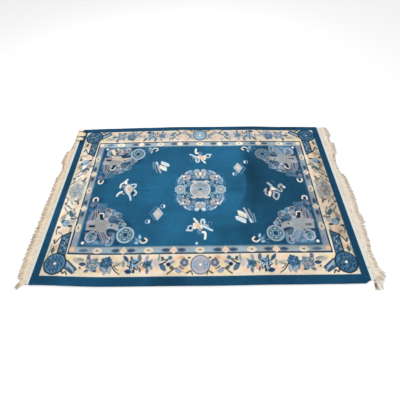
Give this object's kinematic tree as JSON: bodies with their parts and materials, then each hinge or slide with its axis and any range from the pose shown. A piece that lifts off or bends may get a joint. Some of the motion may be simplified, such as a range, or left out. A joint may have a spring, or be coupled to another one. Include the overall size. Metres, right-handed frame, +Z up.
{
  "type": "chinese rug",
  "caption": "Flat rectangular wool pile rug with carved border lines, and a flat-woven web with knotted cotton fringe at each short end.",
  "frame": {"origin": "under the middle of the whole rug, fringe included, on the floor that it lies on", "axes": "+X along the rug's length, towards the right fringe; +Y towards the far long side; +Z up, out of the pile"},
  "size_m": [3.0106, 1.8998, 0.0228],
  "materials": {
    "wool_pile": "clipped wool pile, matt with a soft nap",
    "cotton_left": "undyed cotton web and knotted fringe",
    "cotton_right": "undyed cotton web and knotted fringe"
  },
  "bodies": {
    "root": {"rug_pile": "wool_pile", "fringe_left": "cotton_left", "fringe_right": "cotton_right"}
  },
  "joints": []
}
